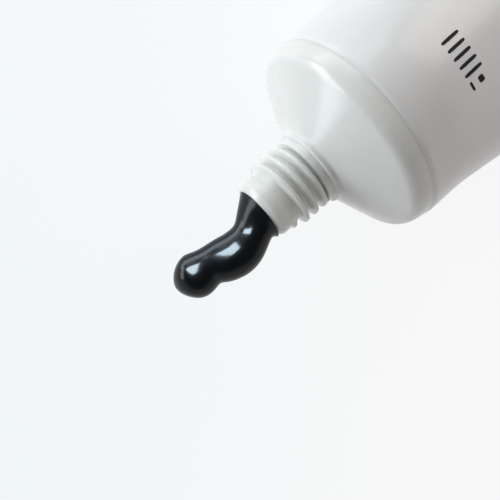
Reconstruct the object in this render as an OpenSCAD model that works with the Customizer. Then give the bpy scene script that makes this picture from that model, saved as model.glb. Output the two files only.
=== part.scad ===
// Soft plastic tube of toothpaste, lying on its back with the mouth to the left.
// The sleeve is round at the shoulder and pressed flat at its sealed end. The
// moulded head closes the round end and carries the threaded neck. The paste
// fills the inside and stands out of the mouth.
// Each piece is drawn along Z, with the shoulder's rim at z = 0, the mouth up and
// the front face towards X, and at_rest() then lays it down.

/* [Sleeve] */
// Outside diameter of the round end
tube_d = 38; // [32:0.5:50]
// Length from the shoulder's rim to the edge of the sealed end
sleeve_len = 115; // [80:1:180]
// Thickness of the sleeve's wall
wall = 0.5; // [0.3:0.05:0.9]
// Length behind the skirt that stays round
round_len = 3; // [1:0.5:15]
// Length of the flat seal
seal_len = 6; // [4:0.5:12]
// Number of pressed grooves across the seal
seal_grooves = 4; // [0:1:6]
// Depth of each pressed groove
groove_depth = 0.15; // [0.05:0.01:0.2]

/* [Shoulder] */
// Height of the rounded edge above the rim
edge_h = 3.5; // [2:0.1:5]
// How far the rounded edge draws in from the sleeve's outside to the crease
edge_in = 1.15; // [0.6:0.05:1.8]
// How far the sleeve's film stands proud of the edge at the rim
rim_step = 0.25; // [0:0.05:0.4]
// Slope of the cone, in degrees
cone_slope = 27; // [15:1:40]
// Thickness of the cone's wall
cone_wall = 1.3; // [0.8:0.1:2]
// Length of the skirt that stands inside the sleeve
skirt_len = 3; // [1.5:0.1:5]
// Thickness of the skirt
skirt_wall = 0.9; // [0.6:0.1:1.5]

/* [Neck] */
// Height of the neck from the cone to the lip
neck_h = 12.6; // [11.5:0.1:16]
// Diameter of the flange at the foot of the neck
flange_d = 14.3; // [13.4:0.1:16]
// Height of the flange above the cone
flange_h = 1; // [0.7:0.1:1.5]
// Radius of the fillet between the flange and the cone
foot_r = 0.5; // [0.3:0.1:1.6]
// Diameter of the stop ring between the flange and the thread
ring_d = 12.9; // [11.8:0.1:13.3]
// Height of the stop ring above the flange
ring_h = 1.3; // [0.5:0.1:2]
// Diameter of the plain collar under the lip
collar_d = 11.1; // [10.8:0.1:12]
// Length of the plain collar from the lip to the thread
collar_len = 2.7; // [2:0.05:4]
// Length of the nose that tapers from the collar to the lip
nose_len = 0.95; // [0.3:0.05:1.2]
// Width of the lip's flat face round the mouth
lip_face = 0.45; // [0.2:0.05:0.6]
// Diameter of the mouth
mouth_d = 8.6; // [5:0.1:9.2]

/* [Thread] */
// How far the thread's root lies under the collar's wall
root_step = 0.2; // [0.2:0.05:0.4]
// Height of the thread's crest above its root
thread_depth = 1.25; // [0.6:0.05:1.5]
// Distance from one turn to the next
thread_pitch = 2.05; // [1.6:0.05:2.3]
// Width of the thread at its root
thread_base = 1.45; // [1:0.05:1.55]
// Width of the thread at its crest
thread_top = 0.45; // [0.2:0.05:0.8]
// Stretch of turn over which the thread fades in and out, in degrees
thread_fade = 60; // [20:5:90]
// Angle at which the thread ends under the collar, in degrees from the front
thread_end = 295; // [0:5:355]

/* [Paste] */
// How far the bead of paste stands out of the mouth
bead_len = 18; // [10:1:30]
// Radius of the bead at its thickest
bead_r = 4.1; // [2.5:0.05:4.4]
// Radius of the bead where it narrows
bead_waist = 3.3; // [2:0.05:4]
// How far the paste spreads over the lip, past the mouth's edge
lip_spread = 0.5; // [0.1:0.05:0.7]
// How far the bead bends to the side
bead_side = 3; // [0:0.1:4]
// How far the bead's end hangs down
bead_drop = 6; // [0:0.5:9]
// How far the paste stops short of the seal
paste_back = 4; // [3:0.5:15]

/* [Fits] */
// Gap between the head and the sleeve
seat_gap = 0.06; // [0.03:0.01:0.15]
// Gap between the paste and the walls around it
fill_gap = 0.12; // [0.06:0.01:0.2]

/* [Hidden] */

// Points round a ring, steps of a short arc, and thread sections to a turn
ring_n = 44;
arc_n = 8;
turn_n = 36;
// Rings along the taper, how they crowd to its start, and rings along the bead
taper_n = 14;
crowd = 1.2;
bead_n = 20;
// Share of the taper over which it eases in behind the round stretch
ease = 0.06;
// Power at which the section widens as it flattens, which keeps its girth
girth_pow = 1.6;
// Squareness of a section: 2 is an ellipse, and more is a bar with round ends
round_m = 2;
flat_m = 5;
square_pow = 6;
// Half of the slit that the pressed walls leave where the seal starts
slit = 0.04;
// Depth to which the thread is rooted in the neck, and to which its faded ends sink
thread_sink = 0.3;
fade_sink = 0.1;
// Share of the bead's length over which it narrows from the lip
flare_share = 0.28;
flare_pow = 3;
// Step along the bead that gives its direction, and where its tip's rings start
bead_look = 0.01;
tip_start = 0.2;

// Rows down the bead: share of its length, side bend, drop and swell
bead_rows = [
    [0, 0.15, 0, 0],
    [0.2, 0.79, 0.03, 0.1],
    [0.4, 1, 0.12, 1],
    [0.62, 0.63, 0.35, 0.2],
    [0.8, 0.56, 0.62, 1],
    [1, 0.34, 1, 0.25]
];

tube_r = tube_d / 2;
seal_half = wall + slit;
flat_half = PI * tube_r / 2;
straight_len = skirt_len + round_len;
taper_len = sleeve_len - straight_len - seal_len;
inner_r = tube_r - wall;

rim_r = tube_r - rim_step;
edge_r = (pow(edge_in - rim_step, 2) + edge_h * edge_h) / (2 * (edge_in - rim_step));
edge_angle = asin(edge_h / edge_r);
crease_r = tube_r - edge_in;
flange_r = flange_d / 2;
collar_r = collar_d / 2;
root_r = collar_r - root_step;
mouth_r = mouth_d / 2;
skirt_r = inner_r * cos(180 / ring_n) - seat_gap;
skirt_in = skirt_r - skirt_wall;

// Where the cone runs into the fillet at the neck's foot, and the heights above it
foot_at = flange_r + foot_r * (1 - sin(cone_slope));
foot_z = edge_h + (crease_r - foot_at) * tan(cone_slope);
flange_z = foot_z + flange_h;
ring_z = flange_z + ring_h;
lip_z = foot_z + neck_h;
fillet_z = foot_z + foot_r * cos(cone_slope);
fillet_start = cone_slope - 90;
fillet_end = asin(min((flange_z - fillet_z) / foot_r, 0));

// Height of the cone's inside at a radius
function inside_z(r) = edge_h + (crease_r - r) * tan(cone_slope)
    - cone_wall / cos(cone_slope);

// Share of the taper that is done at a distance behind the rim
function taper_at(d) = let (f = min(max((d - straight_len) / taper_len, 0), 1))
    (1 + ease) * f * f / (f + ease);
function half_thick(d) = seal_half + (tube_r - seal_half) * (1 - taper_at(d));
function half_width(d) = tube_r
    + (flat_half - tube_r) * (1 - pow(1 - taper_at(d), girth_pow));
function squareness(d) = round_m + (flat_m - round_m) * pow(taper_at(d), square_pow);

// Distances behind the rim of the rings: the rim, the skirt's end, the taper with
// the paste's end as its last stop, and the seal
paste_end = sleeve_len - seal_len - paste_back;
taper_stops = concat([seat_gap, skirt_len],
    [for (i = [0:taper_n]) straight_len + (paste_end - straight_len) * pow(i / taper_n, crowd)],
    [sleeve_len - seal_len]);

// Tilt at which the sleeve's rim and sealed edge both touch the floor
tilt = max([for (d = taper_stops)
    d < sleeve_len - seal_len ? atan((half_thick(d) - seal_half) / (sleeve_len - d)) : 0]);
lift = seal_half * cos(tilt) + sleeve_len * sin(tilt);

function power(v, p) = sign(v) * pow(abs(v), p);
function section(b, a, m, z) = [for (i = [0:ring_n - 1]) let (t = 360 * i / ring_n)
    [b * power(cos(t), 2 / m), a * power(sin(t), 2 / m), z]];
function disc(r, z) = section(r, r, round_m, z);
function flat(rings) = [for (r = rings) for (p = r) p];

// Faces between rings of n points that run up Z, and across one ring
function skin(count, n, first = 0) = [for (j = [0:count - 2], i = [0:n - 1], h = [0, 1])
    let (p = first + j * n + i, q = first + j * n + (i + 1) % n)
    h == 0 ? [p, p + n, q] : [q, p + n, q + n]];
function fan(n, first) = [for (i = [1:n - 2]) [first, first + i, first + i + 1]];
function flip(faces) = [for (f = faces) [f[2], f[1], f[0]]];

// Distance behind the rim and depth of each ring across the seal's grooves
groove_step = seal_len / (seal_grooves + 1);
groove_marks = [[-0.3, 0], [-0.1, 1], [0.1, 1], [0.3, 0]];
groove_rings = seal_grooves == 0 ? [] : [for (k = [1:seal_grooves], g = groove_marks)
    [sleeve_len - seal_len + groove_step * (k + g[0]), groove_depth * g[1]]];

// Soft sleeve, one wall thick, with its flat grooved seal
module sleeve() {
    outer = concat(
        [for (d = taper_stops) section(half_thick(d), half_width(d), squareness(d), -d)],
        [for (g = groove_rings) section(seal_half - g[1], flat_half, flat_m, -g[0])],
        [section(seal_half, flat_half, flat_m, -sleeve_len)]);
    inner = [for (d = taper_stops)
        section(half_thick(d) - wall, half_width(d) - wall, squareness(d), -d)];
    count = len(outer);
    inside = count * ring_n;
    rim = [for (i = [0:ring_n - 1], h = [0, 1]) let (j = (i + 1) % ring_n)
        h == 0 ? [i, inside + i, j] : [j, inside + i, inside + j]];
    faces = concat(
        flip(skin(count, ring_n)),
        fan(ring_n, (count - 1) * ring_n),
        skin(len(inner), ring_n, inside),
        flip(fan(ring_n, inside + (len(inner) - 1) * ring_n)),
        rim);
    color("white") at_rest() polyhedron(flat(concat(outer, inner)), faces);
}

// Wall of the head: up the outside from the skirt to the lip, and down the inside
head_outline = concat(
    [[skirt_in, -skirt_len], [skirt_r, -skirt_len], [skirt_r, 0]],
    [for (i = [0:arc_n]) let (t = edge_angle * i / arc_n)
        [rim_r - edge_r * (1 - cos(t)), edge_r * sin(t)]],
    [for (i = [0:arc_n]) let (t = fillet_start + (fillet_end - fillet_start) * i / arc_n)
        [flange_r + foot_r - foot_r * cos(t), fillet_z + foot_r * sin(t)]],
    [[flange_r, flange_z], [ring_d / 2, flange_z], [ring_d / 2, ring_z], [root_r, ring_z],
     [root_r, lip_z - collar_len], [collar_r, lip_z - collar_len],
     [collar_r, lip_z - nose_len], [mouth_r + lip_face, lip_z], [mouth_r, lip_z],
     [mouth_r, inside_z(mouth_r)], [skirt_in, inside_z(skirt_in)]]);

// One start of right-hand thread, from the stop ring to the collar, faded at its ends
thread_z = lip_z - collar_len - thread_base / 2;
thread_turns = (thread_z - ring_z) / thread_pitch;
thread_n = ceil(thread_turns * turn_n);
function fade(i) = let (t = 360 * thread_turns * min(i, thread_n - i) / thread_n)
    sin(90 * min(t / thread_fade, 1));
function thread_section(i) = let (
        turn = thread_turns * (i / thread_n - 1),
        angle = thread_end + 360 * turn,
        z = thread_z + thread_pitch * turn,
        foot = root_r - thread_sink,
        crest = root_r - fade_sink + (thread_depth + fade_sink) * fade(i))
    [for (p = [[foot, -thread_base], [crest, -thread_top], [crest, thread_top],
        [foot, thread_base]])
        [p[0] * cos(angle), p[0] * sin(angle), z + p[1] / 2]];

module thread() {
    rings = [for (i = [0:thread_n]) thread_section(i)];
    polyhedron(flat(rings), concat(flip(skin(thread_n + 1, 4)),
        flip(fan(4, 0)), fan(4, thread_n * 4)));
}

// Moulded head: skirt, rounded edge, cone, flange, stop ring, threaded neck and lip
module head() {
    color("whitesmoke") at_rest() {
        rotate_extrude($fn = 96) polygon(head_outline);
        thread();
    }
}

// Smooth curve through the bead's rows at a share of its length
function bead_between(u, k) = u <= bead_rows[k + 1][0] || k >= len(bead_rows) - 2 ?
    k : bead_between(u, k + 1);
function slope(p, q) = (q - p) / (q[0] - p[0]);
function bead_row(u) = let (
        k = bead_between(u, 0),
        last = len(bead_rows) - 1,
        p = bead_rows[k],
        q = bead_rows[k + 1],
        before = k > 0 ? slope(bead_rows[k - 1], q) : [1, 0, 0, 0],
        after = slope(p, bead_rows[min(k + 2, last)]),
        w = q[0] - p[0],
        t = (u - p[0]) / w)
    (2 * t ^ 3 - 3 * t ^ 2 + 1) * p + (t ^ 3 - 2 * t ^ 2 + t) * w * before
    + (3 * t ^ 2 - 2 * t ^ 3) * q + (t ^ 3 - t ^ 2) * w * after;

tip_share = bead_r / bead_len;
function bead_centre(u) = let (row = bead_row(u))
    [-bead_drop * row[2], -bead_side * row[1], lip_z + seat_gap + bead_len * u];
function bead_radius(u) = let (
        swell = bead_waist + (bead_r - bead_waist) * bead_row(u)[3],
        flare = (mouth_r + lip_spread - bead_waist)
            * pow(1 - min(u / flare_share, 1), flare_pow),
        tip = max(u - 1 + tip_share, 0) / tip_share)
    (swell + flare) * sqrt(1 - tip * tip);

function unit(v) = v / norm(v);
function bead_ring(u) = let (
        run = unit(bead_centre(u + bead_look) - bead_centre(max(u - bead_look, 0))),
        turned = min(u / flare_share, 1),
        along = unit(turned * run + (1 - turned) * [0, 0, 1]),
        ahead = unit([1, 0, 0] - along[0] * along),
        aside = cross(along, ahead))
    [for (i = [0:ring_n - 1]) let (t = 360 * i / ring_n)
        bead_centre(u) + bead_radius(u) * (cos(t) * ahead + sin(t) * aside)];

// Shares of the bead's length at its rings, which crowd towards the round tip
bead_stops = concat(
    [for (i = [0:bead_n - 1]) (1 - tip_share) * i / bead_n],
    [for (i = [0:arc_n - 1]) 1 - tip_share + tip_share * sin(90 * (i + tip_start) / arc_n)]);

// Paste that fills the sleeve and the head, and the bead outside the mouth
paste_skin = wall + fill_gap;
paste_rings = concat(
    [for (i = [taper_n + 2:-1:2]) let (d = taper_stops[i])
        section(half_thick(d) - paste_skin, half_width(d) - paste_skin, squareness(d), -d)],
    [disc(inner_r - fill_gap, -skirt_len - fill_gap),
     disc(skirt_in - fill_gap, -skirt_len - fill_gap),
     disc(skirt_in - fill_gap, inside_z(skirt_in) - fill_gap / cos(cone_slope)),
     disc(mouth_r - fill_gap, inside_z(mouth_r) - fill_gap / cos(cone_slope)),
     disc(mouth_r - fill_gap, lip_z)],
    [for (u = bead_stops) bead_ring(u)]);

module paste() {
    count = len(paste_rings);
    color([0.12, 0.13, 0.15]) at_rest()
        polyhedron(flat(paste_rings), concat(skin(count, ring_n),
            fan(ring_n, 0), flip(fan(ring_n, (count - 1) * ring_n))));
}

// Lays an upright piece on its back, seated on the floor and centred end to end
tip_x = min([for (p = flat(paste_rings)) p[0] * sin(tilt) - p[2] * cos(tilt)]);
end_x = seal_half * sin(tilt) + sleeve_len * cos(tilt);
module at_rest() {
    translate([-(tip_x + end_x) / 2, 0, lift]) rotate([0, tilt - 90, 0]) children();
}

sleeve();
head();
paste();
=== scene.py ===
import bisect
import math

import bmesh
import bpy
from bpy.props import FloatProperty, FloatVectorProperty, IntProperty, PointerProperty
from mathutils import Matrix, Vector, noise


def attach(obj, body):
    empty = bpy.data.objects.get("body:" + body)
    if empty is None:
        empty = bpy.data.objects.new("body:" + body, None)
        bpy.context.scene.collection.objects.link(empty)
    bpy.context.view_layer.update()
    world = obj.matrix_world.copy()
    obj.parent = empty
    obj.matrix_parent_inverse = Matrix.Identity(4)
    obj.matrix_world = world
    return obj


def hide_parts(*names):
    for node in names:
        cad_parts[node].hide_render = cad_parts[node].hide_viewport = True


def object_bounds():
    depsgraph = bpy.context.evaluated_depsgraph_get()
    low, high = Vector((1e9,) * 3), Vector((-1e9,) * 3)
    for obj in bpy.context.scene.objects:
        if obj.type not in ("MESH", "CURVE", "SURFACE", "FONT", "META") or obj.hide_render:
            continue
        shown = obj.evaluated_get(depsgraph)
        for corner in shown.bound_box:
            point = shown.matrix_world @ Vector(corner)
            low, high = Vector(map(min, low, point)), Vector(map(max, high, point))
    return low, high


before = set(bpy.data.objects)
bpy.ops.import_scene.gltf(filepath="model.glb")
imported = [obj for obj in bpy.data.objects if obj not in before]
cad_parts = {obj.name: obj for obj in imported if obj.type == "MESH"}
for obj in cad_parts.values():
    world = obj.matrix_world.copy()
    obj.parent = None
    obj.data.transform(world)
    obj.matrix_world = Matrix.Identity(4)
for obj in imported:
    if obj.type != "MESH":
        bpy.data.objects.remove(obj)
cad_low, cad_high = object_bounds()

bl_info = {
    "name": "Toothpaste Tube",
    "version": (1, 0, 0),
    "blender": (4, 5, 0),
    "location": "3D View > Sidebar > Tube",
    "description": "Models a soft tube of toothpaste, its threaded neck and its paste",
    "category": "Object",
}

MM = 0.001

# Places on the tube: its sealed end, and those that lamps face
SEALED_END = Vector((cad_high.x, 0, 0))
NECK = SEALED_END + Vector((-122, 0, 25)) * MM
CONE = SEALED_END + Vector((-118, 7.5, 32)) * MM
BEAD = SEALED_END + Vector((-142, -2, 27)) * MM

# Shape of the taper and gaps between the pieces, the same as in the part's source
EASE = 0.06
GIRTH_POWER = 1.6
ROUND, BAR, BAR_POWER = 2, 5, 6
SLIT = 0.04 * MM
SEAT_GAP = 0.06 * MM
FILL_GAP = 0.12 * MM
WALL_FLATS = 44
TILT_STEPS = 400

# Fineness of the meshes
MERGE = 0.001 * MM
NEAR = 0.005 * MM
TOUCH = 0.005 * MM
CURVE_STEPS = 240
RING_COUNT, PASTE_COUNT, MARK_COUNT, MARK_SPAN = 144, 96, 48, 12
SPIN_STEPS = 192
BODY_ROWS, INNER_ROWS, PASTE_ROWS, CROWDING = 70, 20, 24, 1.2
ROUND_ROWS, RIM_ROWS = 6, 8
EDGE_ROWS, CREASE_STEPS, FILLET_STEPS, CORNER_STEPS = 10, 8, 10, 5
SKIRT_ROW, CONE_ROW, THREAD_ROW, INSIDE_ROW = 1 * MM, 0.8 * MM, 0.085 * MM, 2 * MM

# Sealed end: how far each row draws in, and its height, in millimetres
SEAL_EDGE = ((0.14, 0), (0.05, 0.03), (0, 0.12))
# Pressed groove: place of each row in steps, and its share of the depth
GROOVE = ((0.3, 0), (0.2, 0.6), (0.08, 1), (-0.08, 1), (-0.2, 0.6), (-0.3, 0))
MOUTH_FACE = 0.7 * MM
CORNER_SHARE = 0.45

# Rows down the bead of paste: share of its length, side bend, drop and swell
BEAD_ROWS = [
    (0.0, (0.15, 0.0, 0.0)),
    (0.2, (0.79, 0.03, 0.1)),
    (0.4, (1.0, 0.12, 1.0)),
    (0.62, (0.63, 0.35, 0.2)),
    (0.8, (0.56, 0.62, 1.0)),
    (1.0, (0.34, 1.0, 0.25)),
]
# Printed marks: place in steps, then rise, width and height as shares of a tall mark's
MARKS = [
    (2.1, 0, 1, 1),
    (1.1, 0, 1, 1),
    (0.1, 0, 1, 1),
    (-0.9, 0, 1, 1),
    (-1.9, 0, 1, 1),
    (-3.1, 0.13, 1.9, 0.3),
    (-3.1, -0.42, 2.6, 0.13),
]
MARK_SQUARE = 4
MARK_ABOVE = 1 * MM
INK_GAP = 0.004 * MM

# Skin of the bead: flare at the lip, slight ripple and lumps, and the rows of its round tip
FLARE_SHARE, FLARE_POWER = 0.28, 3
RIPPLE, RIPPLE_AT, RIPPLE_STEP = 0.13 * MM, 0.467, 0.283
LUMP_SIZE, LUMP_RISE = 3.4 * MM, 0.1 * MM
BEAD_COUNT, TIP_COUNT, TIP_TURN = 70, 21, 20.4
BEAD_LOOK = 0.01
SOFT_FROM, SOFTENING = 0.03, 30

# Sockets of the Mix node by number: share, two colours and their mix, two values
MIX_SHARE, MIX_A, MIX_B, MIX_COLOUR, MIX_LOW, MIX_HIGH = 0, 6, 7, 2, 2, 3
WHITE = (1, 1, 1, 1)
# Plastic: how much finer the fine grain is than the mottle, its height, and the depth of both
FINE_TIMES, FINE_HEIGHT = 11, 0.35
GRAIN_DEPTH = 0.1 * MM

# Stage: the floor's painted brightening and the air turn from left to right as the camera sees
# them
RIGHTWARDS = (0.77, -0.63, 0)
FLOOR_SIZE, FLOOR_DROP, FLOOR_LIFT = 6, 0.05 * MM, 0.88
COOL_AIR, WARM_AIR = (0.95, 0.975, 1, 1), (1, 0.84, 0.75, 1)
PALE_BLUE, FAINT_BLUE = (0.72, 0.88, 1), (0.97, 0.985, 1)
COOL, WARM = (0.9, 0.97, 1), (1, 0.9, 0.82)
SENSOR_WIDTH = 36
NEAREST = 5 * MM

# Room lamps: azimuth, elevation, distance, width, height and tint
ROOM_LAMPS = {
    "window": (135, 8, 0.5, 0.45, 0.2, FAINT_BLUE),
    "side": (80, 10, 0.5, 0.3, 0.2, COOL),
    "upper": (60, 30, 0.5, 0.2, 0.2, COOL),
    "right": (18, 27, 0.5, 0.3, 0.2, WARM),
}
# Lamps that one piece alone mirrors: the same, the place they face, and the piece
GLOSS_LAMPS = {
    "glint": (97, 50, 0.5, 0.17, 0.4, PALE_BLUE, BEAD, "tube_paste"),
    "rim": (92, -9, 0.08, 0.1, 0.03, PALE_BLUE, BEAD, "tube_paste"),
    "pane": (161, -9, 0.1, 0.045, 0.018, PALE_BLUE, CONE, "tube_head"),
}


def length(name, description, default):
    """A length, with its default given in millimetres."""
    return FloatProperty(name=name, description=description, default=default * MM,
                         min=0, precision=5, unit="LENGTH")


def angle(name, description, default):
    """An angle, with its default given in degrees."""
    return FloatProperty(name=name, description=description,
                         default=math.radians(default), subtype="ANGLE")


def colour(name, description, default):
    """A colour in linear light."""
    return FloatVectorProperty(name=name, description=description, default=default,
                               size=3, min=0, max=1, subtype="COLOR")


def share(name, description, default):
    """A share from nothing to all."""
    return FloatProperty(name=name, description=description, default=default,
                         min=0, max=1, subtype="FACTOR")


def power(name, description, default):
    """A lamp's power in watts."""
    return FloatProperty(name=name, description=description, default=default,
                         min=0, precision=3, unit="POWER")


class SleeveSettings(bpy.types.PropertyGroup):
    tube_d: length("Diameter", "Outside diameter of the round end", 38)
    sleeve_len: length("Length", "From the shoulder's rim to the sealed end", 115)
    wall: length("Wall", "Thickness of the film wall", 0.5)
    round_len: length("Round stretch", "Length behind the rim that stays round", 6)
    seal_len: length("Seal", "Length of the flat seal", 6)
    seal_grooves: IntProperty(name="Grooves", description="Pressed grooves across the seal",
                              default=4, min=0, max=6)
    groove_depth: length("Groove depth", "Depth of each pressed groove", 0.15)
    rim_fade: length("Rim fade", "Length over which the film thins down at the rim", 1)
    rim_thin: length("Rim thinning", "How much thinner the film is at the rim", 0.25)


class HeadSettings(bpy.types.PropertyGroup):
    edge_h: length("Edge height", "Height of the rounded edge above the rim", 3.5)
    edge_in: length("Edge inset", "How far the edge draws in up to the crease", 1.15)
    crease_round: length("Crease rounding", "Length that the crease's rounding takes", 0.9)
    cone_slope: angle("Cone slope", "Slope of the shoulder's cone", 27)
    cone_wall: length("Cone wall", "Thickness of the cone", 1.3)
    skirt_len: length("Skirt length", "Skirt that stands inside the sleeve", 3)
    skirt_wall: length("Skirt wall", "Thickness of the skirt", 0.9)
    rim_step: length("Rim step", "How far the film stands proud of the edge", 0.25)
    neck_h: length("Neck height", "From the cone to the lip", 12.6)
    flange_d: length("Flange diameter", "Diameter of the flange at the neck's foot", 14.3)
    flange_h: length("Flange height", "Height of the flange above the cone", 1)
    foot_r: length("Foot fillet", "Fillet between the flange and the cone", 0.5)
    ring_d: length("Ring diameter", "Stop ring between the flange and the thread", 12.9)
    ring_h: length("Ring height", "Height of the stop ring above the flange", 1.3)
    collar_d: length("Collar diameter", "Plain collar under the lip", 11.1)
    collar_len: length("Collar length", "From the lip to the thread", 2.7)
    nose_len: length("Nose length", "Nose that tapers from the collar to the lip", 0.95)
    lip_face: length("Lip face", "Width of the lip's flat face round the mouth", 0.45)
    corner: length("Corner", "Length that a moulded corner's rounding takes", 0.2)
    mouth_d: length("Mouth", "Diameter of the mouth", 8.6)
    root_step: length("Root step", "Depth of the thread's root under the collar", 0.2)
    thread_depth: length("Thread depth", "Height of the crest above the root", 1.25)
    thread_pitch: length("Thread pitch", "Distance from one turn to the next", 2.05)
    thread_base: length("Thread base", "Width of the thread at its root", 1.45)
    thread_top: length("Thread crest", "Width of the thread at its crest", 0.45)
    thread_fade: angle("Thread fade", "Stretch of turn over which the thread fades", 60)
    thread_end: angle("Thread end", "Where the thread ends, from the front", 295)


class PasteSettings(bpy.types.PropertyGroup):
    bead_len: length("Bead length", "How far the bead stands out of the mouth", 18)
    bead_r: length("Bead radius", "Radius of the bead at its thickest", 4.1)
    bead_waist: length("Bead waist", "Radius of the bead where it narrows", 3.3)
    lip_spread: length("Lip spread", "How far the paste spreads over the lip", 0.5)
    bead_side: length("Side bend", "How far the bead bends to the side", 3)
    bead_drop: length("Drop", "How far the bead's end hangs down", 6)
    paste_back: length("Paste's end", "How far the paste stops short of the seal", 4)


class PrintSettings(bpy.types.PropertyGroup):
    print_from: length("Distance", "From the rim to the foot of the marks", 11.75)
    mark_h: length("Height", "Height of the tall marks", 3.8)
    mark_w: length("Width", "Width of the tall marks", 0.56)
    mark_step: length("Step", "Distance from one mark to the next", 1.5)
    film: length("Ink", "Thickness of the ink", 0.03)


class FinishSettings(bpy.types.PropertyGroup):
    film_white: colour("Film", "Colour of the sleeve", (0.76, 0.775, 0.785))
    head_white: colour("Head", "Colour of the moulded head", (0.76, 0.78, 0.76))
    paste_black: colour("Paste", "Colour of the paste", (0.002, 0.003, 0.005))
    ink: colour("Ink", "Colour of the printed marks", (0.006, 0.006, 0.009))
    # The floor's tint, which painted light whitens towards the right
    floor: colour("Floor", "Colour of the floor", (0.93, 0.97, 1.0))
    mottle: share("Mottle", "Strength of the fine mottle on the plastics", 0.35)


class StageSettings(bpy.types.PropertyGroup):
    lens: FloatProperty(name="Lens", description="Focal length of the camera on its 36 mm width",
                        default=46.29, unit="CAMERA")
    camera_place: FloatVectorProperty(
        name="Camera place", description="Where the camera stands, from the sealed end",
        default=(-0.137861, 0.012687, 0.131003), subtype="TRANSLATION", unit="LENGTH")
    camera_turn: FloatVectorProperty(
        name="Camera turn", description="How the camera is turned", subtype="EULER",
        default=[math.radians(a) for a in (-7.4111, -5.0001, -39.394)])
    world_light: share("World light", "Strength of the light all round", 0.33)
    window_power: power("Window", "Power of the wide low light on the left", 1.75)
    side_power: power("Side", "Power of the low light beside the tube", 0.45)
    upper_power: power("Upper", "Power of the higher light beside the tube", 0.32)
    right_power: power("Right", "Power of the light from the sealed end", 0.56)
    glint_power: power("Glint", "Power of the light that only the wet paste mirrors", 12.5)
    rim_power: power("Rim", "Power of the low light that only the wet paste mirrors", 0.07)
    pane_power: power("Pane", "Power of the small light that only the head mirrors", 0.014)


# Forms


def taper(s, d):
    """Share of the flattening that is done at a distance behind the rim."""
    f = (d - s.round_len) / (s.sleeve_len - s.round_len - s.seal_len)
    f = min(max(f, 0), 1)
    return (1 + EASE) * f * f / (f + EASE)


def half_thick(s, d):
    """Half the sleeve's thickness from front to back at a distance behind the rim."""
    seal_half = s.wall + SLIT
    return seal_half + (s.tube_d / 2 - seal_half) * (1 - taper(s, d))


def half_width(s, d):
    """Half the sleeve's width from side to side at a distance behind the rim."""
    radius = s.tube_d / 2
    return radius + (math.pi / 2 - 1) * radius * (1 - (1 - taper(s, d)) ** GIRTH_POWER)


def squareness(s, d):
    """Power of the section's outline: 2 is round, and more is squarer."""
    return ROUND + (BAR - ROUND) * taper(s, d) ** BAR_POWER


def rest_matrix(s):
    """Lays an upright piece on its back, seated and placed as the CAD model is."""
    seal_half = s.wall + SLIT
    reach = s.sleeve_len - s.seal_len
    tilt = max(math.atan((half_thick(s, d) - seal_half) / (s.sleeve_len - d))
               for d in (reach * i / TILT_STEPS for i in range(TILT_STEPS)))
    c, n = math.cos(tilt), math.sin(tilt)
    end_x = seal_half * n + s.sleeve_len * c
    lift = seal_half * c + s.sleeve_len * n
    return Matrix(((n, 0, -c, cad_high.x - end_x), (0, 1, 0, 0), (c, 0, n, lift), (0, 0, 0, 1)))


def section(thick, width, square, z, count=RING_COUNT):
    """Evenly spaced points round a section that is thick along X and wide along Y."""
    per = count // 4
    curve = [(thick * math.cos(a) ** (2 / square), width * math.sin(a) ** (2 / square))
             for a in (math.pi / 2 * i / CURVE_STEPS for i in range(CURVE_STEPS))]
    curve.append((0.0, width))
    run = [0.0]
    for p, q in zip(curve, curve[1:]):
        run.append(run[-1] + math.dist(p, q))
    quarter = []
    for k in range(per + 1):
        want = run[-1] * k / per
        i = min(bisect.bisect_right(run, want), CURVE_STEPS) - 1
        f = min((want - run[i]) / (run[i + 1] - run[i]), 1)
        quarter.append([(1 - f) * a + f * b for a, b in zip(curve[i], curve[i + 1])])
    there, back = quarter[:-1], quarter[:0:-1]
    return ([Vector((x, y, z)) for x, y in there] + [Vector((-x, y, z)) for x, y in back]
            + [Vector((-x, -y, z)) for x, y in there] + [Vector((x, -y, z)) for x, y in back])


def disc(radius, z, count):
    """Evenly spaced points round a circle."""
    return section(radius, radius, ROUND, z, count)


def line(p, q, step):
    """Points of an outline from p up to but not including q."""
    n = max(1, round(math.dist(p, q) / step))
    return [(p[0] + (q[0] - p[0]) * i / n, p[1] + (q[1] - p[1]) * i / n) for i in range(n)]


# Modelling


def deselect():
    """Leaves edit mode and deselects everything."""
    if bpy.context.object and bpy.context.object.mode != "OBJECT":
        bpy.ops.object.mode_set(mode="OBJECT")
    bpy.ops.object.select_all(action="DESELECT")


def circle(name, points):
    """Adds a circle, moves its vertices to the points and stays in edit mode."""
    deselect()
    bpy.ops.mesh.primitive_circle_add(vertices=len(points), radius=points[0].length)
    piece = bpy.context.object
    piece.name = piece.data.name = name
    bpy.ops.object.mode_set(mode="EDIT")
    mesh = bmesh.from_edit_mesh(piece.data)
    mesh.verts.ensure_lookup_table()
    for vert, point in zip(mesh.verts, points):
        vert.co = point
    bmesh.update_edit_mesh(piece.data)
    return piece


def loft(name, rings):
    """Extrudes a circle ring by ring into a closed skin."""
    piece = circle(name, rings[0])
    mesh = bmesh.from_edit_mesh(piece.data)
    loop = list(mesh.verts)
    bpy.ops.mesh.edge_face_add()
    for ring in rings[1:]:
        for face in mesh.faces:
            face.select_set(False)
        for vert, following in zip(loop, loop[1:] + loop[:1]):
            mesh.edges.get((vert, following)).select_set(True)
        move = sum(ring, Vector()) / len(ring) - sum((v.co for v in loop), Vector()) / len(loop)
        bpy.ops.mesh.extrude_edges_move(TRANSFORM_OT_translate={"value": move})
        mesh = bmesh.from_edit_mesh(piece.data)
        loop = [next(e.other_vert(v) for e in v.link_edges if e.other_vert(v).select)
                for v in loop]
        for vert, point in zip(loop, ring):
            vert.co = point
    bpy.ops.mesh.edge_face_add()
    return close_up(piece)


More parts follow.
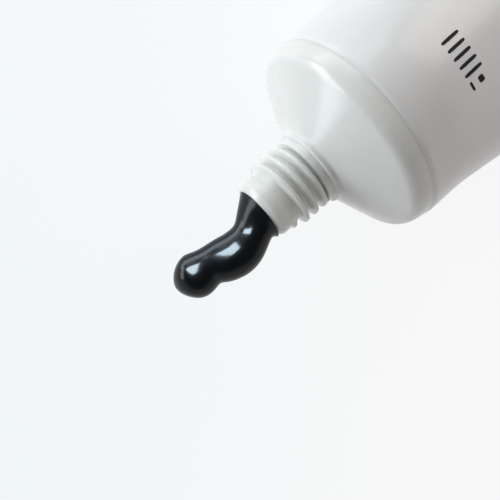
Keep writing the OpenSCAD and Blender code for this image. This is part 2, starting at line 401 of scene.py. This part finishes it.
def close_up(piece):
    """Merges doubles, turns the faces outwards and leaves edit mode."""
    bpy.ops.mesh.select_all(action="SELECT")
    bpy.ops.mesh.remove_doubles(threshold=MERGE)
    bpy.ops.mesh.normals_make_consistent(inside=False)
    bpy.ops.object.mode_set(mode="OBJECT")
    return piece


def finish_piece(piece, sizes, material, node, smooth=30, laid=False):
    """Lays a piece down, smooths it and joins it to the frame."""
    deselect()
    piece.select_set(True)
    bpy.context.view_layer.objects.active = piece
    if not laid:
        piece.matrix_world = rest_matrix(sizes)
        bpy.ops.object.transform_apply(location=True, rotation=True, scale=True)
    bpy.ops.object.shade_smooth_by_angle(angle=math.radians(smooth))
    piece.data.materials.append(material)
    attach(piece, "root")
    if node:
        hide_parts(node)
    return {"FINISHED"}


class TUBE_OT_add_sleeve(bpy.types.Operator):
    """Models the soft sleeve, round at the rim and pressed flat at its sealed end"""

    bl_idname = "tube.add_sleeve"
    bl_label = "Sleeve"

    def execute(self, context):
        s = context.scene.tube_sleeve
        seal_at = s.sleeve_len - s.seal_len
        seal_half, seal_wide = s.wall + SLIT, math.pi * s.tube_d / 4

        def ring(d, inset=0.0):
            return section(half_thick(s, d) - inset, half_width(s, d) - inset,
                           squareness(s, d), -d)

        def behind(part):
            """Distance behind the rim, at a part of the way from the round stretch to the seal."""
            return s.round_len + (seal_at - s.round_len) * part ** CROWDING

        rings = [section(seal_half - drawn * MM, seal_wide - drawn * MM, BAR,
                         up * MM - s.sleeve_len) for drawn, up in SEAL_EDGE]
        step = s.seal_len / (s.seal_grooves + 1)
        for k in range(s.seal_grooves, 0, -1):
            for along, deep in GROOVE:
                rings.append(section(seal_half - deep * s.groove_depth, seal_wide, BAR,
                                     -seal_at - step * (k + along)))
        rings += [ring(behind(i / BODY_ROWS)) for i in range(BODY_ROWS, -1, -1)]
        rings += [ring(s.rim_fade + (s.round_len - s.rim_fade) * i / ROUND_ROWS)
                  for i in range(ROUND_ROWS - 1, 0, -1)]
        rings += [ring(TOUCH + s.rim_fade * (1 - i / RIM_ROWS), s.rim_thin * (i / RIM_ROWS) ** 2)
                  for i in range(RIM_ROWS + 1)]
        rings.append(ring(TOUCH, s.wall))
        rings += [ring(behind(i / INNER_ROWS), s.wall) for i in range(INNER_ROWS + 1)]
        piece = loft("tube_sleeve", rings)
        return finish_piece(piece, s, film_material(context), "sleeve")


def inside_z(h, tube_d, radius):
    """Height of the cone's inside at a radius."""
    crease_r = tube_d / 2 - h.edge_in
    return (h.edge_h + (crease_r - radius) * math.tan(h.cone_slope)
            - h.cone_wall / math.cos(h.cone_slope))


def neck_heights(h, tube_d):
    """Heights of the cone's foot, the flange, the stop ring, the collar and the lip."""
    foot_at = h.flange_d / 2 + h.foot_r * (1 - math.sin(h.cone_slope))
    foot_z = h.edge_h + (tube_d / 2 - h.edge_in - foot_at) * math.tan(h.cone_slope)
    flange_z, lip_z = foot_z + h.flange_h, foot_z + h.neck_h
    return foot_z, flange_z, flange_z + h.ring_h, lip_z - h.collar_len, lip_z


def bend(p, corner, q, steps):
    """Points of an outline that rounds a corner, from p to q."""
    return [tuple((1 - u) ** 2 * a + 2 * u * (1 - u) * b + u * u * c
                  for a, b, c in zip(p, corner, q))
            for u in (i / steps for i in range(steps + 1))]


def skirt_inside(s, h):
    """Inner radius of the skirt, which seats inside the flats of the source's round wall."""
    return (s.tube_d / 2 - s.wall) * math.cos(math.pi / WALL_FLATS) - SEAT_GAP - h.skirt_wall


def rounded(points, reach):
    """Outline through points, with each inner corner rounded over a reach both ways."""
    points = [Vector(p) for p in points]
    rows = [tuple(points[0])]
    for p, corner, q in zip(points, points[1:], points[2:]):
        into, out = p - corner, q - corner
        near = min(reach, into.length * CORNER_SHARE, out.length * CORNER_SHARE)
        rows += bend(corner + near * into.normalized(), corner,
                     corner + near * out.normalized(), CORNER_STEPS)
    return rows + [tuple(points[-1])]


def head_outline(s, h):
    """Outline of the head's wall, up the outside from the skirt and down the inside."""
    foot_z, flange_z, ring_z, collar_z, lip_z = neck_heights(h, s.tube_d)
    skirt_in = skirt_inside(s, h)
    skirt_r = skirt_in + h.skirt_wall
    rim_r, draw = s.tube_d / 2 - h.rim_step, h.edge_in - h.rim_step
    flange_r, collar_r, mouth_r = h.flange_d / 2, h.collar_d / 2, h.mouth_d / 2
    root_r, face_r = collar_r - h.root_step, mouth_r + h.lip_face
    edge_r = (draw ** 2 + h.edge_h ** 2) / (2 * draw)
    edge_turn = math.asin(h.edge_h / edge_r)
    cut, slope = h.crease_round, h.cone_slope

    def edge(t):
        return rim_r - edge_r * (1 - math.cos(t)), edge_r * math.sin(t)

    crease = edge(edge_turn)
    cone_start = crease[0] - cut * math.cos(slope), crease[1] + cut * math.sin(slope)
    foot = (flange_r + h.foot_r, foot_z + h.foot_r * math.cos(slope))
    fillet = [(foot[0] - h.foot_r * math.cos(t), foot[1] + h.foot_r * math.sin(t))
              for t in ((slope - math.pi / 2) * (1 - i / FILLET_STEPS)
                        for i in range(FILLET_STEPS + 1))]
    rows = line((skirt_in, -h.skirt_len), (skirt_r, -h.skirt_len), SKIRT_ROW / 2)
    rows += line((skirt_r, -h.skirt_len), (skirt_r, 0), SKIRT_ROW) + [(skirt_r, 0)]
    last = edge_turn - cut / edge_r
    rows += [edge(last * i / EDGE_ROWS) for i in range(EDGE_ROWS)]
    rows += bend(edge(last), crease, cone_start, CREASE_STEPS)
    rows += line(cone_start, fillet[0], CONE_ROW)[1:] + fillet[:-1]
    rows += rounded([fillet[-1], (flange_r, flange_z), (h.ring_d / 2, flange_z),
                     (h.ring_d / 2, ring_z), (root_r, ring_z)], h.corner)[:-1]
    rows += line((root_r, ring_z), (root_r, collar_z), THREAD_ROW)
    throat = (mouth_r, lip_z - MOUTH_FACE)
    rows += rounded([(root_r, collar_z), (collar_r, collar_z), (collar_r, lip_z - h.nose_len),
                     (face_r, lip_z), (mouth_r, lip_z), throat], h.corner)
    under_mouth = (mouth_r, inside_z(h, s.tube_d, mouth_r))
    under_edge = (skirt_in, inside_z(h, s.tube_d, skirt_in))
    rows += line(throat, under_mouth, INSIDE_ROW)[1:]
    rows += line(under_mouth, under_edge, INSIDE_ROW)
    rows += line(under_edge, (skirt_in, -h.skirt_len), INSIDE_ROW)
    return [Vector((r, 0, z)) for r, z in rows]


def thread_rise(h, thread_z, turns, turn, z):
    """Height of the thread above its root, at an angle in turns and a height."""
    rise = 0.0
    first = turn - h.thread_end / math.tau
    for k in range(-math.ceil(turns) - 1, 2):
        along = first + k
        if not -turns <= along <= 0:
            continue
        off = abs(z - thread_z - h.thread_pitch * along)
        ramp = (h.thread_base / 2 - off) / ((h.thread_base - h.thread_top) / 2)
        ramp = min(max(ramp, 0), 1)
        near_end = min(-along, along + turns) * math.tau / h.thread_fade
        fade = math.sin(math.pi / 2 * min(near_end, 1))
        rise = max(rise, h.thread_depth * fade * ramp * ramp * (3 - 2 * ramp))
    return rise


class TUBE_OT_add_head(bpy.types.Operator):
    """Spins the moulded head from its outline and raises the thread on its neck"""

    bl_idname = "tube.add_head"
    bl_label = "Head"

    def execute(self, context):
        s, h = context.scene.tube_sleeve, context.scene.tube_head
        piece = circle("tube_head", head_outline(s, h))
        bpy.ops.mesh.select_all(action="SELECT")
        bpy.ops.mesh.spin(steps=SPIN_STEPS, angle=math.tau, center=(0, 0, 0), axis=(0, 0, 1))
        close_up(piece)
        _, _, ring_z, collar_z, _ = neck_heights(h, s.tube_d)
        root_r = h.collar_d / 2 - h.root_step
        thread_z = collar_z - h.thread_base / 2
        turns = (thread_z - ring_z) / h.thread_pitch
        for vert in piece.data.vertices:
            x, y, z = vert.co
            r = math.hypot(x, y)
            if abs(r - root_r) < NEAR and ring_z - NEAR < z < collar_z + NEAR:
                rise = thread_rise(h, thread_z, turns, math.atan2(y, x) / math.tau, z)
                vert.co.x, vert.co.y = x * (1 + rise / r), y * (1 + rise / r)
        return finish_piece(piece, s, head_material(context), "head", smooth=40)


def bead_row(u):
    """Side bend, drop and swell of the bead at a share of its length, on a smooth curve."""
    last = len(BEAD_ROWS) - 1
    k = max(i for i in range(last) if BEAD_ROWS[i][0] <= u or i == 0)

    def slope(i, j):
        (a, p), (b, q) = BEAD_ROWS[i], BEAD_ROWS[j]
        return (Vector(q) - Vector(p)) / (b - a)

    (a, p), (b, q) = BEAD_ROWS[k], BEAD_ROWS[k + 1]
    before = slope(k - 1, k + 1) if k else Vector()
    after = slope(k, min(k + 2, last))
    w, t = b - a, (u - a) / (b - a)
    return ((2 * t ** 3 - 3 * t ** 2 + 1) * Vector(p) + (t ** 3 - 2 * t ** 2 + t) * w * before
            + (3 * t ** 2 - 2 * t ** 3) * Vector(q) + (t ** 3 - t ** 2) * w * after)


def bead_ring(p, mouth_r, lip_z, u):
    """Ring of the bead at a share of its length."""
    def centre(v):
        side, drop, _ = bead_row(v)
        return Vector((-p.bead_drop * drop, -p.bead_side * side,
                       lip_z + SEAT_GAP + p.bead_len * v))

    turned = min(u / FLARE_SHARE, 1)
    swell = p.bead_waist + (p.bead_r - p.bead_waist) * bead_row(u)[2]
    flare = (mouth_r + p.lip_spread - p.bead_waist) * (1 - turned) ** FLARE_POWER
    ripple = RIPPLE * math.sin(math.tau * (u - RIPPLE_AT) / RIPPLE_STEP) * turned
    tip_share = p.bead_r / p.bead_len
    tip = max(u - 1 + tip_share, 0) / tip_share
    radius = (swell + flare + ripple) * math.sqrt(1 - tip * tip)
    run = (centre(u + BEAD_LOOK) - centre(max(u - BEAD_LOOK, 0))).normalized()
    along = (turned * run + (1 - turned) * Vector((0, 0, 1))).normalized()
    ahead = (Vector((1, 0, 0)) - along.x * along).normalized()
    aside = along.cross(ahead)
    return [centre(u) + radius * (math.cos(t) * ahead + math.sin(t) * aside)
            for t in (math.tau * i / PASTE_COUNT for i in range(PASTE_COUNT))]


def soften(piece, above):
    """Smooths the skin of the bead above a height, and gives it slight uneven lumps."""
    bpy.ops.object.mode_set(mode="EDIT")
    bpy.ops.mesh.select_all(action="DESELECT")
    for vert in bmesh.from_edit_mesh(piece.data).verts:
        vert.select_set(vert.co.z > above)
    bpy.ops.mesh.vertices_smooth(factor=0.5, repeat=SOFTENING)
    bpy.ops.object.mode_set(mode="OBJECT")
    for vert in piece.data.vertices:
        grown = min(max((vert.co.z - above) / LUMP_SIZE, 0), 1)
        vert.co += grown * LUMP_RISE * noise.noise(vert.co / LUMP_SIZE) * vert.normal


class TUBE_OT_add_paste(bpy.types.Operator):
    """Models the paste that fills the tube and the bead that stands out of its mouth"""

    bl_idname = "tube.add_paste"
    bl_label = "Paste"

    def execute(self, context):
        scene = context.scene
        s, h, p = scene.tube_sleeve, scene.tube_head, scene.tube_paste
        skin = s.wall + FILL_GAP
        end = s.sleeve_len - s.seal_len - p.paste_back
        slant = FILL_GAP / math.cos(h.cone_slope)
        lip_z = neck_heights(h, s.tube_d)[-1]
        throat_r, wide_r = h.mouth_d / 2 - FILL_GAP, skirt_inside(s, h) - FILL_GAP
        rings = []
        for i in range(PASTE_ROWS, -1, -1):
            d = s.round_len + (end - s.round_len) * (i / PASTE_ROWS) ** CROWDING
            rings.append(section(half_thick(s, d) - skin, half_width(s, d) - skin,
                                 squareness(s, d), -d, PASTE_COUNT))
        under = -h.skirt_len - FILL_GAP
        rings += [disc(radius, z, PASTE_COUNT) for radius, z in (
            (s.tube_d / 2 - skin, under), (wide_r, under),
            (wide_r, inside_z(h, s.tube_d, skirt_inside(s, h)) - slant),
            (throat_r, inside_z(h, s.tube_d, h.mouth_d / 2) - slant),
            (throat_r, lip_z))]
        tip = p.bead_r / p.bead_len
        shares = [(1 - tip) * i / BEAD_COUNT for i in range(BEAD_COUNT)]
        shares += [1 - tip + tip * math.sin(math.pi / 2 * i / TIP_TURN) for i in range(TIP_COUNT)]
        rings += [bead_ring(p, h.mouth_d / 2, lip_z, u) for u in shares]
        piece = loft("tube_paste", rings)
        soften(piece, lip_z + p.bead_len * SOFT_FROM)
        return finish_piece(piece, s, paste_material(context), "paste", smooth=50)


class TUBE_OT_add_print(bpy.types.Operator):
    """Lays the plain printed marks on the front of the sleeve"""

    bl_idname = "tube.add_print"
    bl_label = "Print"

    def execute(self, context):
        s, m = context.scene.tube_sleeve, context.scene.tube_print
        middle = m.print_from + m.mark_h / 2
        marks = [bar_mark(wide * m.mark_w, high * m.mark_h, across * m.mark_step,
                          middle + up * m.mark_h) for across, up, wide, high in MARKS]
        deselect()
        for mark in marks:
            mark.select_set(True)
        bpy.context.view_layer.objects.active = marks[0]
        bpy.ops.object.join()
        piece = bpy.context.object
        piece.name = piece.data.name = "printed_marks"
        piece.matrix_world = rest_matrix(s)
        bpy.ops.object.transform_apply(location=True, rotation=True, scale=True)
        wrap = piece.modifiers.new("On the film", "SHRINKWRAP")
        wrap.target = bpy.data.objects["tube_sleeve"]
        wrap.wrap_method = "PROJECT"
        wrap.use_project_z = True
        wrap.use_negative_direction = True
        wrap.use_positive_direction = False
        wrap.offset = INK_GAP
        bpy.ops.object.modifier_apply(modifier=wrap.name)
        ink = piece.modifiers.new("Ink", "SOLIDIFY")
        ink.thickness = m.film
        ink.offset = 1
        bpy.ops.object.modifier_apply(modifier=ink.name)
        return finish_piece(piece, s, ink_material(context), None, laid=True)


def lift_mark(piece, across, behind):
    """Turns a flat mark face up and puts it above the sleeve's front."""
    bpy.ops.mesh.select_all(action="SELECT")
    if bmesh.from_edit_mesh(piece.data).faces[:][0].normal.z < 0:
        bpy.ops.mesh.flip_normals()
    bpy.ops.object.mode_set(mode="OBJECT")
    top = bpy.context.scene.tube_sleeve.tube_d / 2 + MARK_ABOVE
    place = Matrix(((0, 0, 1, top), (1, 0, 0, across), (0, 1, 0, -behind), (0, 0, 0, 1)))
    piece.data.transform(place)
    return piece


def bar_mark(wide, high, across, behind):
    """Flat bar with rounded ends, cut fine enough to bend onto the film."""
    piece = circle("mark", squarish(wide / 2, high / 2))
    bpy.ops.mesh.select_all(action="SELECT")
    bpy.ops.mesh.fill_grid(span=MARK_SPAN)
    return lift_mark(piece, across, behind)


def squarish(wide, high):
    """Points round a squarish oval in the XY plane."""
    def swing(reach, turn):
        return reach * math.copysign(abs(turn) ** (2 / MARK_SQUARE), turn)

    return [Vector((swing(wide, math.cos(t)), swing(high, math.sin(t)), 0))
            for t in (math.tau * (i + 0.5) / MARK_COUNT for i in range(MARK_COUNT))]


# Finishes


def link(tree, start, socket, end, target):
    """Joins an output of one node to an input of another."""
    tree.links.new(start.outputs[socket], end.inputs[target])


def add_node(tree, kind, **values):
    """Adds a node, with its properties and its input values given by name."""
    node = tree.nodes.new(kind)
    for name, value in values.items():
        if hasattr(node, name):
            setattr(node, name, value)
        else:
            node.inputs[name.replace("_", " ")].default_value = value
    return node


def plastic_grain():
    """Group: fine mottle of colour, roughness and height, in Object coordinates."""
    group = bpy.data.node_groups.get("Plastic grain")
    if group:
        return group
    group = bpy.data.node_groups.new("Plastic grain", "ShaderNodeTree")
    for name, kind in (("Colour", "NodeSocketColor"), ("Roughness", "NodeSocketFloat"),
                       ("Spread", "NodeSocketFloat"), ("Grain", "NodeSocketFloat"),
                       ("Mottle", "NodeSocketFloat")):
        group.interface.new_socket(name, in_out="INPUT", socket_type=kind)
    for name, kind in (("Colour", "NodeSocketColor"), ("Roughness", "NodeSocketFloat"),
                       ("Height", "NodeSocketFloat")):
        group.interface.new_socket(name, in_out="OUTPUT", socket_type=kind)
    inside = add_node(group, "NodeGroupInput")
    outside = add_node(group, "NodeGroupOutput")
    place = add_node(group, "ShaderNodeTexCoord")
    cloud = add_node(group, "ShaderNodeTexNoise", Detail=3.0, Roughness=0.55)
    fine_scale = add_node(group, "ShaderNodeMath", operation="MULTIPLY")
    fine_scale.inputs[1].default_value = FINE_TIMES
    fine = add_node(group, "ShaderNodeTexNoise", Detail=2.0, Roughness=0.5)
    link(group, inside, "Grain", cloud, "Scale")
    link(group, inside, "Grain", fine_scale, 0)
    link(group, fine_scale, 0, fine, "Scale")
    for texture in (cloud, fine):
        link(group, place, "Object", texture, "Vector")
    shade = add_node(group, "ShaderNodeMapRange", From_Min=0.1, From_Max=0.9, To_Min=0.83,
                     To_Max=1.05)
    link(group, cloud, "Fac", shade, "Value")
    tint = add_node(group, "ShaderNodeMix", data_type="RGBA", blend_type="MULTIPLY")
    link(group, inside, "Mottle", tint, MIX_SHARE)
    link(group, inside, "Colour", tint, MIX_A)
    link(group, shade, 0, tint, MIX_B)
    link(group, tint, MIX_COLOUR, outside, "Colour")
    about = add_node(group, "ShaderNodeMath", operation="SUBTRACT")
    about.inputs[1].default_value = 0.5
    link(group, cloud, "Fac", about, 0)
    rough = add_node(group, "ShaderNodeMath", operation="MULTIPLY_ADD")
    link(group, about, 0, rough, 0)
    link(group, inside, "Spread", rough, 1)
    link(group, inside, "Roughness", rough, 2)
    link(group, rough, 0, outside, "Roughness")
    height = add_node(group, "ShaderNodeMath", operation="MULTIPLY_ADD")
    height.inputs[1].default_value = FINE_HEIGHT
    link(group, fine, "Fac", height, 0)
    link(group, cloud, "Fac", height, 2)
    link(group, height, 0, outside, "Height")
    return group


def grained(name, tint, roughness, spread, grain, bump, **sockets):
    """Material of one plastic, with the shared grain and its own shader values."""
    material = bpy.data.materials.get(name)
    if material:
        return material
    material = bpy.data.materials.new(name)
    material.use_nodes = True
    tree = material.node_tree
    shader = tree.nodes["Principled BSDF"]
    for socket, value in sockets.items():
        shader.inputs[socket.replace("_", " ")].default_value = value
    group = add_node(tree, "ShaderNodeGroup", node_tree=plastic_grain())
    values = (("Colour", (*tint, 1)), ("Roughness", roughness), ("Spread", spread),
              ("Grain", grain), ("Mottle", bpy.context.scene.tube_finish.mottle))
    for socket, value in values:
        group.inputs[socket].default_value = value
    relief = add_node(tree, "ShaderNodeBump", Strength=bump, Distance=GRAIN_DEPTH)
    link(tree, group, "Colour", shader, "Base Color")
    link(tree, group, "Roughness", shader, "Roughness")
    link(tree, group, "Height", relief, "Height")
    link(tree, relief, "Normal", shader, "Normal")
    return material


def film_material(context):
    """Satin white laminate film."""
    return grained("Satin white film", context.scene.tube_finish.film_white,
                   roughness=0.3, spread=0.08, grain=90, bump=0.06,
                   Coat_Weight=0.15, Coat_Roughness=0.15)


def head_material(context):
    """White moulded plastic that lets a little light through."""
    return grained("Moulded white plastic", context.scene.tube_finish.head_white,
                   roughness=0.2, spread=0.08, grain=200, bump=0.08, Subsurface_Weight=0.35,
                   Subsurface_Radius=(1.0, 0.95, 0.85), Subsurface_Scale=1.8 * MM)


def paste_material(context):
    """Wet black paste."""
    return grained("Wet black paste", context.scene.tube_finish.paste_black,
                   roughness=0.3, spread=0.15, grain=260, bump=0.2,
                   Specular_IOR_Level=0.05, Coat_Weight=0.28, Coat_Roughness=0.13)


def ink_material(context):
    """Black printing ink."""
    return grained("Black ink", context.scene.tube_finish.ink,
                   roughness=0.55, spread=0.1, grain=400, bump=0.1, Specular_IOR_Level=0.2)


# Stage


def rightwards(tree, coordinates):
    """Value that grows from left to right as the camera sees it."""
    across = add_node(tree, "ShaderNodeVectorMath", operation="DOT_PRODUCT")
    across.inputs[1].default_value = RIGHTWARDS
    link(tree, add_node(tree, "ShaderNodeTexCoord"), coordinates, across, 0)
    return across


def looking(tree):
    """Value that is 1 where the camera, a gloss or a clear surface looks, and 0 for light."""
    path = add_node(tree, "ShaderNodeLightPath")
    seen = add_node(tree, "ShaderNodeMath", operation="ADD")
    all_seen = add_node(tree, "ShaderNodeMath", operation="ADD", use_clamp=True)
    link(tree, path, "Is Camera Ray", seen, 0)
    link(tree, path, "Is Glossy Ray", seen, 1)
    link(tree, seen, 0, all_seen, 0)
    link(tree, path, "Is Transmission Ray", all_seen, 1)
    return all_seen


def floor_material(tint):
    """Pale floor, whitened towards the right by painted light, that keeps the shadow."""
    material = bpy.data.materials.new("Pale floor")
    material.use_nodes = True
    tree = material.node_tree
    tree.nodes.remove(tree.nodes["Principled BSDF"])
    # Painted light: the floor's colour turns from its tint to white towards the right
    ramp = add_node(tree, "ShaderNodeMapRange", From_Min=-0.09, From_Max=0.0)
    link(tree, rightwards(tree, "Object"), "Value", ramp, "Value")
    shade = add_node(tree, "ShaderNodeMix", data_type="RGBA")
    shade.inputs[MIX_A].default_value = (*tint, 1)
    shade.inputs[MIX_B].default_value = WHITE
    link(tree, ramp, 0, shade, MIX_SHARE)
    matt = add_node(tree, "ShaderNodeBsdfDiffuse")
    glow = add_node(tree, "ShaderNodeEmission")
    both = add_node(tree, "ShaderNodeMixShader")
    lift = add_node(tree, "ShaderNodeMath", operation="MULTIPLY")
    lift.inputs[1].default_value = FLOOR_LIFT
    link(tree, shade, MIX_COLOUR, matt, "Color")
    link(tree, shade, MIX_COLOUR, glow, "Color")
    link(tree, looking(tree), 0, lift, 0)
    link(tree, lift, 0, both, 0)
    link(tree, matt, 0, both, 1)
    link(tree, glow, 0, both, 2)
    link(tree, both, 0, tree.nodes["Material Output"], "Surface")
    return material


def light_world(strength):
    """Soft light, cool on the left and warm on the right, that looks white and greyer overhead."""
    world = bpy.data.worlds.new("Pale room")
    bpy.context.scene.world = world
    world.use_nodes = True
    tree = world.node_tree
    sky = tree.nodes["Background"]
    warmth = add_node(tree, "ShaderNodeMapRange", From_Min=-0.25, From_Max=0.8)
    link(tree, rightwards(tree, "Generated"), "Value", warmth, "Value")
    seen = looking(tree)
    unseen = add_node(tree, "ShaderNodeMath", operation="SUBTRACT")
    unseen.inputs[0].default_value = 1
    link(tree, seen, 0, unseen, 1)
    warm_share = add_node(tree, "ShaderNodeMath", operation="MULTIPLY")
    link(tree, warmth, 0, warm_share, 0)
    link(tree, unseen, 0, warm_share, 1)
    air = add_node(tree, "ShaderNodeMix", data_type="RGBA")
    air.inputs[MIX_A].default_value = COOL_AIR
    air.inputs[MIX_B].default_value = WARM_AIR
    link(tree, warm_share, 0, air, MIX_SHARE)
    link(tree, air, MIX_COLOUR, sky, "Color")
    apart = add_node(tree, "ShaderNodeSeparateXYZ")
    link(tree, add_node(tree, "ShaderNodeTexCoord"), "Generated", apart, "Vector")
    ceiling = add_node(tree, "ShaderNodeMapRange", interpolation_type="SMOOTHSTEP",
                       From_Min=0.2, From_Max=0.55, To_Min=1, To_Max=0.22)
    link(tree, apart, "Z", ceiling, "Value")
    level = add_node(tree, "ShaderNodeMix", data_type="FLOAT")
    level.inputs[MIX_LOW].default_value = strength
    link(tree, seen, 0, level, MIX_SHARE)
    link(tree, ceiling, 0, level, MIX_HIGH)
    link(tree, level, 0, sky, "Strength")


def add_lamp(name, watts, azimuth, elevation, distance, wide, high, tint, aim=NECK):
    """Adds a soft rectangular lamp that faces a place on the tube."""
    a, e = math.radians(azimuth), math.radians(elevation)
    back = Vector((math.cos(a) * math.cos(e), math.sin(a) * math.cos(e), math.sin(e)))
    bpy.ops.object.light_add(type="AREA", location=aim + back * distance,
                             rotation=back.to_track_quat("Z", "Y").to_euler())
    lamp = bpy.context.object
    lamp.name = lamp.data.name = name
    lamp.data.shape = "RECTANGLE"
    lamp.data.size, lamp.data.size_y = wide, high
    lamp.data.energy = watts
    lamp.data.color = tint
    return lamp


def mirror_only(lamp, name):
    """Keeps a lamp to the gloss of one piece, so that it lights nothing else."""
    title = "Mirrors in " + name
    only = bpy.data.collections.get(title)
    if not only:
        only = bpy.data.collections.new(title)
        only.objects.link(bpy.data.objects[name])
    lamp.visible_diffuse = False
    lamp.light_linking.receiver_collection = only


class TUBE_OT_set_stage(bpy.types.Operator):
    """Sets the pale floor, the soft lights and the camera"""

    bl_idname = "tube.set_stage"
    bl_label = "Stage"

    def execute(self, context):
        scene = context.scene
        stage = scene.tube_stage
        deselect()
        bpy.ops.mesh.primitive_plane_add(size=FLOOR_SIZE, location=(0, 0, -FLOOR_DROP))
        floor = bpy.context.object
        floor.name = floor.data.name = "floor"
        floor.data.materials.append(floor_material(scene.tube_finish.floor))
        light_world(stage.world_light)
        for name, lamp in ROOM_LAMPS.items():
            add_lamp(name, getattr(stage, name + "_power"), *lamp)
        for name, (*lamp, piece) in GLOSS_LAMPS.items():
            mirror_only(add_lamp(name, getattr(stage, name + "_power"), *lamp), piece)
        bpy.ops.object.camera_add(location=SEALED_END + Vector(stage.camera_place),
                                  rotation=stage.camera_turn)
        camera = bpy.context.object
        camera.data.sensor_width = SENSOR_WIDTH
        camera.data.lens = stage.lens
        camera.data.clip_start = NEAREST
        scene.camera = camera
        scene.view_settings.view_transform = "Standard"
        return {"FINISHED"}


class TUBE_PT_panel(bpy.types.Panel):
    """Lists the tube's pieces and the stage"""

    bl_idname = "TUBE_PT_panel"
    bl_label = "Toothpaste Tube"
    bl_space_type = "VIEW_3D"
    bl_region_type = "UI"
    bl_category = "Tube"

    def draw(self, context):
        for operator, settings in BUTTONS:
            box = self.layout.box()
            box.operator(operator)
            group = getattr(context.scene, settings)
            for name in group.__annotations__:
                box.prop(group, name)


BUTTONS = [
    ("tube.add_sleeve", "tube_sleeve"),
    ("tube.add_head", "tube_head"),
    ("tube.add_paste", "tube_paste"),
    ("tube.add_print", "tube_print"),
    ("tube.set_stage", "tube_stage"),
    ("tube.set_stage", "tube_finish"),
]
SETTINGS = {
    "tube_sleeve": SleeveSettings,
    "tube_head": HeadSettings,
    "tube_paste": PasteSettings,
    "tube_print": PrintSettings,
    "tube_finish": FinishSettings,
    "tube_stage": StageSettings,
}
OPERATORS = (TUBE_OT_add_sleeve, TUBE_OT_add_head, TUBE_OT_add_paste, TUBE_OT_add_print,
             TUBE_OT_set_stage)


def register():
    for cls in (*SETTINGS.values(), *OPERATORS, TUBE_PT_panel):
        bpy.utils.register_class(cls)
    for name, cls in SETTINGS.items():
        setattr(bpy.types.Scene, name, PointerProperty(type=cls))


def unregister():
    for name in SETTINGS:
        delattr(bpy.types.Scene, name)
    for cls in (TUBE_PT_panel, *OPERATORS, *SETTINGS.values()):
        bpy.utils.unregister_class(cls)


def main():
    register()
    bpy.ops.tube.add_sleeve()
    bpy.ops.tube.add_head()
    bpy.ops.tube.add_paste()
    bpy.ops.tube.add_print()
    bpy.ops.tube.set_stage()


if __name__ == "__main__":
    main()
